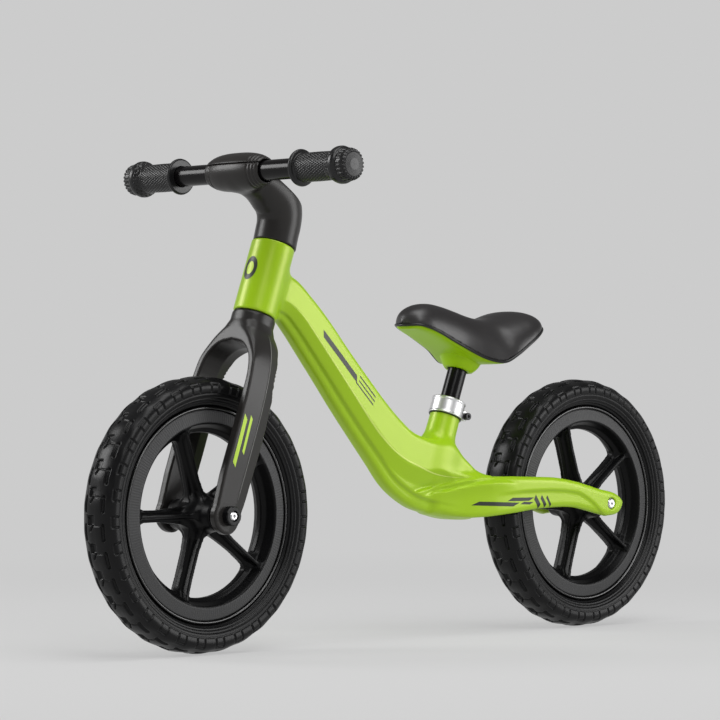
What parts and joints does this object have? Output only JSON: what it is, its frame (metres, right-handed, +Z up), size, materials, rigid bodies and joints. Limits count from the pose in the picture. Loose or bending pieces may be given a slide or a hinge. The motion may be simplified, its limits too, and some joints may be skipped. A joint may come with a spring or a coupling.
{
  "type": "balance bike",
  "caption": "Child's pedal-free balance bike with a cast step-through frame, solid foam tyres, spoked wheels, a free-turning fork and a height-adjustable saddle.",
  "frame": {"origin": "on the ground, midway between the two axles and on the bike's middle plane", "axes": "+X points forwards, +Y to the rider's left, +Z up"},
  "size_m": [0.9066, 0.35, 0.5362],
  "materials": {
    "foam_tyre": "moulded foam, satin matt",
    "wheel_nylon": "satin",
    "plated_steel": "zinc plated",
    "bearing_steel": "ground",
    "green_paint": "cast, painted satin lime green",
    "grey_paint": "cast, painted satin dark grey",
    "black_plastic": "satin",
    "grip_rubber": "moulded, matt",
    "black_paint": "anodised satin black",
    "polished_aluminium": "polished",
    "black_steel": "black oxide",
    "green_plastic": "satin lime green",
    "saddle_vinyl": "satin black moulded skin"
  },
  "bodies": {
    "frame": {"frame": "green_paint", "headset_lower_bearing": "bearing_steel", "headset_upper_bearing": "bearing_steel", "seat_clamp_collar": "polished_aluminium", "seat_clamp_bolt": "black_steel", "seat_clamp_nut": "black_steel", "rear_axle": "plated_steel", "rear_axle_bolt_left": "plated_steel", "rear_axle_bolt_right": "plated_steel", "rear_spacer_left": "plated_steel", "rear_spacer_right": "plated_steel", "rear_hub_sleeve": "plated_steel"},
    "steering": {"fork": "grey_paint", "steerer_tube": "plated_steel", "crown_race": "plated_steel", "headset_compression_ring": "plated_steel", "stem_neck": "grey_paint", "bar_clamp_cap": "grey_paint", "bar_clamp_screw_left": "plated_steel", "bar_clamp_screw_right": "plated_steel", "stem_bolt": "plated_steel", "star_nut": "plated_steel", "handlebar_tube": "black_paint", "grip_left": "grip_rubber", "grip_right": "grip_rubber", "front_axle": "plated_steel", "front_axle_bolt_left": "plated_steel", "front_axle_bolt_right": "plated_steel", "front_axle_cap_left": "black_plastic", "front_axle_cap_right": "black_plastic", "front_spacer_left": "plated_steel", "front_spacer_right": "plated_steel", "front_hub_sleeve": "plated_steel"},
    "front_wheel": {"front_tyre": "foam_tyre", "front_rim": "wheel_nylon", "front_bearing_left": "bearing_steel", "front_bearing_right": "bearing_steel"},
    "rear_wheel": {"rear_tyre": "foam_tyre", "rear_rim": "wheel_nylon", "rear_bearing_left": "bearing_steel", "rear_bearing_right": "bearing_steel"},
    "saddle": {"seat_post": "black_paint", "seat_post_plug": "black_plastic", "seat_post_insert": "plated_steel", "saddle_bolt": "plated_steel", "saddle_base": "green_plastic", "saddle_pad": "saddle_vinyl"}
  },
  "joints": [
    {"name": "steering", "type": "hinge", "parent": "frame", "child": "steering", "pos_m": [0.2242, 0, 0.3615], "axis": [-0.3463, 0, 0.9381], "range_deg": [-90, 90]},
    {"name": "front_wheel_spin", "type": "hinge", "parent": "steering", "child": "front_wheel", "pos_m": [0.3058, 0, 0.1475], "axis": [0, 1, 0], "continuous": true},
    {"name": "rear_wheel_spin", "type": "hinge", "parent": "frame", "child": "rear_wheel", "pos_m": [-0.3058, 0, 0.1475], "axis": [0, 1, 0], "continuous": true},
    {"name": "seat_height", "type": "slide", "parent": "frame", "child": "saddle", "axis": [-0.3665, 0, 0.9304], "range_m": [-0.02, 0.035]}
  ]
}
